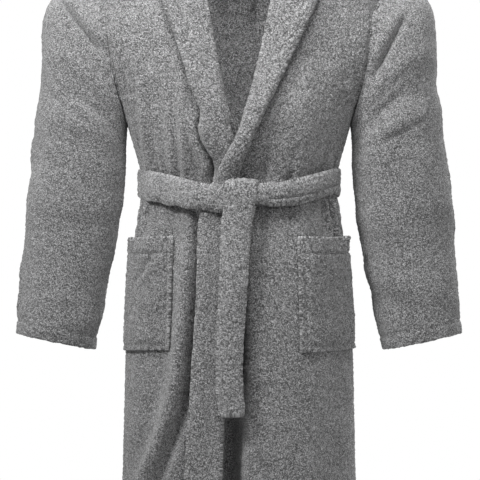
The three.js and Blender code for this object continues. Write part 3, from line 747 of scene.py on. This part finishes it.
def make_band(name, side):
    t = np.linspace(0, 1, 17)
    z = np.linspace(HEM_Z, COLLAR_BOTTOM - 0.001, int(BAND_LENGTH / STEP))[:, None] + 0 * t
    angle = angle_at(roll_line(z) + t * collar_width(z), z)
    fold = front_fold(angle, z, side)
    stand = COLLAR_LIFT + 0.0026 * bell(t, 0.15, 0.25) + 0.0010 * noise(t * 0.05, z, (0.02, 0.05), 71)
    if side > 0:  # the upper band bridges the valley beside it
        stand = stand - np.minimum(fold, 0) + 0.005 * ease(t, 0.5, 1) * ease(-z, 0.55, 0.8)
        stand = stand + 0.003 * noise(z * 0, z, (0.1, 0.13), 73)
    P = front_surface(angle, z, side, stand)
    thick = puffed(0.0115, 0.0075, t, 1, 0.25) - 0.002 * bell(z, HEM_Z + HEM_DEPTH, 0.003)
    piece = thick_cloth(f"{name}_cloth", P, thick, TERRY, seed=19 + side, side=side)
    finish_piece(piece, "robe", "terry", name)


# ---------------------------------------------------------------- pockets
POCKET_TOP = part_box("pocket_left")[1][2] - 0.003
POCKET_HEIGHT = 0.198
POCKET_WIDTH = 0.150
POCKET_HEM = 0.027
POCKET_OUTER = 82.0  # the angle of its outer edge, just in front of the side seam


def make_pocket(name, side):
    inner = 0.100 if side > 0 else 0.119
    u = np.linspace(0, 1, 58)
    rise = np.linspace(0, POCKET_HEIGHT, 80)[:, None]
    z = POCKET_TOP - POCKET_HEIGHT + rise + 0.004 * (u - 0.5) * side
    z = z - 0.0025 * np.sin(np.pi * u) * ease(rise, 0.12, POCKET_HEIGHT)
    edge_x = inner + 0.004 * (1 - rise / POCKET_HEIGHT)
    angle = mix(angle_at(edge_x + 0 * u, z), POCKET_OUTER, u)
    across = u * POCKET_WIDTH + 0 * rise
    sides = np.minimum(across, POCKET_WIDTH - across)
    gape = 0.011 * ease(rise, 0.09, POCKET_HEIGHT) * (1 - np.abs(2 * u - 1) ** 3)
    bulge = gape + 0.003 * ease(sides, 0, 0.02) * ease(rise, 0, 0.02)
    stand = CLOTH + 0.0012 + bulge
    stand = stand + 0.0018 * bell(across, 0.001, 0.0045) - 0.0016 * bell(across, 0.0085, 0.0028)
    stand = stand + 0.0008 * bell(rise, 0.001, 0.0045) - 0.0010 * bell(rise, 0.0085, 0.0026)
    stand = stand - 0.0018 * bell(rise, POCKET_HEIGHT - POCKET_HEM, 0.0028)
    stand = stand + 0.0018 * noise(across, rise, (0.030, 0.035), 81 + side) * ease(sides, 0.005, 0.03)
    if side < 0:  # a slanting crease across the upper part
        line = (rise - 0.148) + 0.95 * (across - 0.055)
        stand = stand - 0.0055 * bell(line, 0, 0.012) * bell(across, 0.060, 0.034)
    P = front_surface(angle, z, side, stand)
    hem = ease(rise, POCKET_HEIGHT - POCKET_HEM, POCKET_HEIGHT - POCKET_HEM + 0.008)
    rim = bell(across, 0.002, 0.005) + 0.4 * bell(rise, 0.002, 0.005)
    thick = CLOTH + 0.0014 * hem + 0.0016 * np.minimum(rim, 1)
    uv = np.stack([across + 1.3, rise + 0 * u, 0 * across], -1)
    piece = thick_cloth(f"{name}_cloth", P, thick, TERRY, seed=23 + side, side=side, uv=uv)
    side_name = name.split("_")[1]
    finish_piece(piece, "robe", "terry", name, f"pocket_hem_{side_name}")


# ---------------------------------------------------------------- belt
BELT_X = [-0.184, -0.153, -0.122, -0.099, -0.058, -0.025, 0.032, 0.058, 0.103, 0.135, 0.162, 0.180]
BELT_CENTRE = profile(list(zip(BELT_X, (
    -0.425, -0.431, -0.438, -0.443, -0.455, -0.458, -0.449, -0.450, -0.441, -0.430, -0.423, -0.422,
))))
BELT_WIDTH = profile(list(zip(BELT_X, (
    0.044, 0.050, 0.050, 0.048, 0.045, 0.047, 0.034, 0.037, 0.044, 0.043, 0.041, 0.044,
))))
BELT_FLAT = 0.046  # the belt's width where it isn't creased
BELT_THICK = 0.0145
BELT_EDGE = 0.0065
BELT_REST = CLOTH / 2 + 0.0010 + BELT_THICK / 2  # from the body's surface to the belt's middle
BELT_TUCK = 0.0075  # how much closer the taut belt lies at the sides and back
BELT_PILE = 0.0015
LOOP_ANGLE = 110
KNOT_X = (KNOT_LOW[0] + KNOT_HIGH[0]) / 2


def belt_lift(x, z):
    """How far the belt's middle stands off the body at the front, over the crossed fronts and collar."""
    crossed = np.where(x > 0, overlap(x, z), OVERLAP_LIFT * (1 - ease(-x, 0.06, 0.14)))
    return BELT_REST + crossed + 0.0118 * (1 - ease(np.abs(x + 0.005), 0.060, 0.115))


def make_belt():
    clear = (KNOT_HIGH[0] - KNOT_LOW[0]) / 2 - 0.004
    start, stop = angle_at(KNOT_X + clear, WAIST_Z), 360 + angle_at(KNOT_X - clear, WAIST_Z)
    angle = np.linspace(start, stop, 290)[None, :]
    v = np.linspace(-0.5, 0.5, 15)[:, None]
    x = body(angle, WAIST_Z + 0 * angle)[..., 0]
    front = ease(np.cos(np.radians(angle)), -0.1, 0.12)
    centre = mix(WAIST_Z, BELT_CENTRE(x), front)
    width = mix(BELT_FLAT, BELT_WIDTH(x), front)
    ripple = 0.0022 * noise(angle * PER_DEGREE, 0 * v, (0.022, 1), 93) * front
    z = centre + v * width + ripple * (0.5 - v)
    angle = angle + 0 * z
    P = body(angle, z)
    tight = 1 - (1 - ease(np.abs(x), 0.14, 0.172)) * front
    stand = np.where(P[..., 1] < 0, belt_lift(P[..., 0], z), BELT_REST) - BELT_TUCK * tight
    stand = stand + 0.0025 * (1 - 4 * v * v) * (1 - tight)
    s = angle * PER_DEGREE
    creases = noise(s + 0.5 * (z - centre), z - centre, (0.016, 0.06), 91)
    near = np.exp(-np.maximum(np.abs(x - KNOT_X) - 0.03, 0) / 0.05) * front
    stand = stand + 0.0012 * noise(s, z - centre, (0.03, 0.03), 92) + creases * (0.0008 + 0.0026 * near)
    groove = bell(v, -0.20, 0.095) * ease(x, 0.035, 0.06) * (1 - ease(x, 0.165, 0.18)) * front
    stand = stand - 0.0022 * groove
    thick = puffed(mix(BELT_THICK, 0.0085, tight), BELT_EDGE, v + 0.5, 1, 0.42) * (1 - 0.2 * groove) + 0 * z
    piece = thick_cloth("belt_waist_cloth", raised(P, stand), thick, BELT_TERRY, seed=29, pile=BELT_PILE)
    finish_piece(piece, "robe", "terry", "belt_waist")


TAIL_CENTRE = profile([
    (TAIL_LOW[2], -0.0125), (-0.76, -0.017), (-0.60, -0.010), (-0.53, -0.006), (WAIST_Z, 0.0045),
])
TAIL_WIDTH = profile([
    (TAIL_LOW[2], 0.041), (-0.76, 0.041), (-0.60, 0.044), (-0.50, 0.048), (WAIST_Z, 0.051),
])
TAIL_THICK = 0.0135
TAIL_LENGTH = 0.45
FRONT_STACK = 0.03225  # the crossed fronts and band that the tails hang in front of
# Where the front tail comes up behind the knot and over it: y and z.
TAIL_OVER_KNOT = [
    (-0.128, -0.446), (-0.130, -0.432), (-0.1385, -0.4255), (-0.1475, -0.4285), (-0.1520, -0.440),
    (-0.1530, -0.465),
]


def tail_depth(z, layer):
    """The y of a hanging tail: layer 0 is the rear one, 1 the front one."""
    return -(half_depth(z) + FRONT_STACK + 0.0045 + layer * 0.0100)


def strip(path, columns, centre, width):
    """A flat strip that follows path (y, z) points, with its own centre line and width by height."""
    path = smooth_paths(np.array(path)[:, None], int(TAIL_LENGTH / STEP))[:, 0]
    v = np.linspace(-0.5, 0.5, columns)
    z = path[:, 1:2] + 0 * v
    x = centre(path[:, 1])[:, None] + v * width(path[:, 1])[:, None]
    return np.stack([x, path[:, :1] + 0 * v, z], -1)


def make_tails():
    down = [(float(tail_depth(z, 1)), z) for z in np.linspace(-0.50, TAIL_LOW[2] + 0.004, 9)]
    P = strip(TAIL_OVER_KNOT + down, 17, TAIL_CENTRE, TAIL_WIDTH)[::-1]
    v = np.linspace(-0.5, 0.5, 17)
    z = P[..., 2]
    wave = 0.0020 * noise(v * 0.05, z, (0.05, 0.07), 95) + 0.0035 * np.cos(v * np.pi) * ease(-z, 0.45, 0.50)
    P = raised(P, wave * ease(-z, 0.43, 0.47))
    thick = puffed(TAIL_THICK, 0.0065, v + 0.5, 1, 0.42) + 0 * z
    piece = thick_cloth("belt_tail_front_cloth", P, thick, BELT_TERRY, seed=31, pile=BELT_PILE)
    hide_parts("belt_tail_front")
    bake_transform(piece)
    rear_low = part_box("belt_tail_rear")[0][2]
    path = [(float(tail_depth(z, 0)), z) for z in np.linspace(-0.486, rear_low + 0.004, 9)]
    P = strip(path, 15, TAIL_CENTRE, lambda z: TAIL_WIDTH(z) - 0.007)[::-1]
    piece = thick_cloth("belt_tail_rear_cloth", P, 0.0085, BELT_TERRY, seed=33, pile=BELT_PILE)
    finish_piece(piece, "belt_tails", "terry", "belt_tail_rear")


def make_knot():
    """The wrap that the free ends come out of, behind the strip that crosses it."""
    u = np.linspace(-1, 1, 15)[None, :]
    v = np.linspace(-1, 1, 18)[:, None]
    x = KNOT_X - 0.001 + 0.0185 * u + 0 * v
    z = -0.4565 + 0.0195 * v + 0 * u
    y = -0.1385 - 0.0015 * (u**2) + 0 * v
    P = np.stack([x, y, z], -1)
    P = raised(P, 0.0010 * noise(x, z, (0.012, 0.012), 97))
    piece = thick_cloth("belt_knot_cloth", P, 0.0165, BELT_TERRY, seed=37)
    finish_piece(piece, "robe", "terry", "belt_knot")


def make_belt_loop(name, side):
    """A short strip sewn to the back panel above and below the belt, just behind the side seam."""
    low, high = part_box(name)
    top, bottom = high[2] - 0.001, low[2] + 0.001
    base, ahead = body(LOOP_ANGLE, WAIST_Z), body(LOOP_ANGLE + 0.1, WAIST_Z)
    tangent = unit(ahead - base)
    outward = np.cross(tangent, (0, 0, 1))
    foot = lambda z: float((body(LOOP_ANGLE, z) - base) @ outward) + CLOTH / 2 + 0.0015
    reach = BELT_REST - BELT_TUCK + BELT_EDGE / 2 + 0.0035
    path = [
        (foot(top), top), (mix(foot(top), reach, 0.7), top - 0.001), (reach, top - 0.006),
        (reach + 0.0008, (top + bottom) / 2), (reach, bottom + 0.006),
        (mix(foot(bottom), reach, 0.7), bottom + 0.001), (foot(bottom), bottom),
    ]
    places = np.array([base * (1, 1, 0) + outward * d + (0, 0, z) for d, z in path])
    line = smooth_paths(places[:, None], 46)
    P = line + np.linspace(-0.5, 0.5, 6)[None, :, None] * 0.010 * tangent
    piece = thick_cloth(f"{name}_cloth", P[::-1], 0.0026, TERRY, seed=41, pile=0.0003, side=side)
    finish_piece(piece, "robe", "terry_hem", name)


# ---------------------------------------------------------------- inside the neck
def make_neck_tape():
    """The tape that covers the back neck seam inside."""
    low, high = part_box("neck_tape")
    u = np.linspace(-1, 1, 60)[None, :]
    z = np.linspace(low[2] + 0.002, high[2] - 0.001, 8)[:, None] + 0 * u
    angle = 180 - angle_at(-high[0] * 0.98 * u + 0 * z, z)
    P = raised(body(angle, z), -(CLOTH / 2 + 0.0022) + 0 * z)
    piece = thick_cloth("neck_tape_cloth", P, 0.0012, TAPE, seed=43, pile=0.00005)
    finish_piece(piece, "robe", "tape", "neck_tape")


def make_hanger():
    """The hanging loop: one tape with rounded corners."""
    low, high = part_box("hanger_loop")
    y = (low[1] + high[1]) / 2
    half, drop, tape = (high[0] - low[0]) / 2 - 0.0035, high[2] - low[2] - 0.0035, 0.007
    corner = 0.012
    turn = np.radians(np.linspace(0, 90, 7))
    left = [(-half + corner - corner * math.cos(a), -drop + corner - corner * math.sin(a)) for a in turn]
    right = [(-x, z) for x, z in left[::-1]]
    path = [(-half, -0.001)] + left + right + [(half, -0.001)]
    line = smooth_paths(np.array([(x, y, high[2] + z) for x, z in path])[:, None], 90)[:, 0]
    along = np.gradient(line, axis=0)
    across = unit(np.cross(along, np.array([0.0, 1.0, 0.0])))
    v = np.linspace(-0.5, 0.5, 6)[None, :, None] * tape
    P = line[:, None] + v * across[:, None]
    piece = thick_cloth("hanger_loop_cloth", P, 0.0018, TAPE, seed=47, pile=0.00006)
    finish_piece(piece, "hanger", "tape", "hanger_loop")


# ---------------------------------------------------------------- camera, light and floor
AIM = (0.0018, 0.0, -0.528)
CAMERA_DISTANCE = 4.6
SEEN_WIDTH = 0.864  # how much the picture spans at the robe's front
FRONT_PLANE = 0.06  # how far that front is from the middle
SENSOR = 36
FLOOR_RADIUS = 4
FLOOR_DROP = 0.25  # the robe hangs clear of the floor


def make_camera():
    camera = bpy.data.objects.new("camera", bpy.data.cameras.new("camera"))
    bpy.context.scene.collection.objects.link(camera)
    bpy.context.scene.camera = camera
    camera.location = (AIM[0], -CAMERA_DISTANCE, AIM[2])
    camera.rotation_euler = (math.pi / 2, 0, 0)
    camera.data.sensor_width = SENSOR
    camera.data.lens = SENSOR * (CAMERA_DISTANCE - FRONT_PLANE) / SEEN_WIDTH
    camera.data.clip_end = 50


def add_light(name, kind, place, target, power):
    light = bpy.data.objects.new(name, bpy.data.lights.new(name, kind))
    light.data.energy = power
    light.location = place
    away = np.array(place) - np.array(target)
    tilt = math.atan2(math.hypot(away[0], away[1]), away[2])
    light.rotation_euler = (tilt, 0, math.atan2(away[1], away[0]) + math.pi / 2)
    bpy.context.scene.collection.objects.link(light)
    return light.data


def area(name, place, size, power):
    lamp = add_light(name, "AREA", place, AIM, power)
    lamp.shape = "DISK"
    lamp.size = size


def spot(name, place, target, cone, softness, power):
    lamp = add_light(name, "SPOT", place, target, power)
    lamp.spot_size = math.radians(cone)
    lamp.spot_blend = 1.0
    lamp.shadow_soft_size = softness


def make_world():
    """Soft grey light all round, with a white background behind the robe."""
    world = bpy.data.worlds.new("studio")
    world.use_nodes = True
    nodes, links = world.node_tree.nodes, world.node_tree.links
    nodes["Background"].inputs["Strength"].default_value = 0.38
    nodes["Background"].inputs["Color"].default_value = (1, 1, 1, 1)
    white = nodes.new("ShaderNodeBackground")
    white.inputs["Color"].default_value = (1, 1, 1, 1)
    rays, both = nodes.new("ShaderNodeLightPath"), nodes.new("ShaderNodeMixShader")
    links.new(rays.outputs["Is Camera Ray"], both.inputs[0])
    links.new(nodes["Background"].outputs[0], both.inputs[1])
    links.new(white.outputs[0], both.inputs[2])
    links.new(both.outputs[0], nodes["World Output"].inputs["Surface"])
    bpy.context.scene.world = world
    bpy.context.scene.view_settings.view_transform = "Standard"


def make_floor():
    mesh = bpy.data.meshes.new("floor")
    corners = np.linspace(0, 2 * math.pi, 65)[:-1]
    height = HEM_Z - FLOOR_DROP
    ring = [(FLOOR_RADIUS * math.cos(a), FLOOR_RADIUS * math.sin(a), height) for a in corners]
    mesh.from_pydata(ring, [], [list(range(len(ring)))])
    floor = bpy.data.objects.new("floor", mesh)
    plain = bpy.data.materials.new("floor")
    plain.use_nodes = True
    plain.node_tree.nodes["Principled BSDF"].inputs["Base Color"].default_value = (0.72, 0.72, 0.72, 1)
    plain.node_tree.nodes["Principled BSDF"].inputs["Roughness"].default_value = 0.9
    mesh.materials.append(plain)
    bpy.context.scene.collection.objects.link(floor)


make_camera()
spot("key", (-1.45, -1.55, 1.15), (-0.08, -0.1, -0.15), 58, 0.35, 315)
spot("neck", (0.0, -0.86, 0.66), (0.0, 0.09, -0.05), 26, 0.30, 112)
area("top", (0.10, -1.00, 1.30), 0.5, 26)
area("fill", (1.5, -2.6, 0.5), 1.2, 20)
area("back", (1.7, 2.3, 0.9), 1.5, 60)
make_world()
make_floor()
make_back()
make_front("front_panel_left", 1)
make_front("front_panel_right", -1)
make_collar("shawl_collar_left", 1)
make_collar("shawl_collar_right", -1)
make_collar_stand()
make_band("front_band_left", 1)
make_band("front_band_right", -1)
make_sleeve("sleeve_left", 1)
make_sleeve("sleeve_right", -1)
make_pocket("pocket_left", 1)
make_pocket("pocket_right", -1)
make_belt()
make_tails()
make_knot()
make_belt_loop("belt_loop_left", 1)
make_belt_loop("belt_loop_right", -1)
make_neck_tape()
make_hanger()
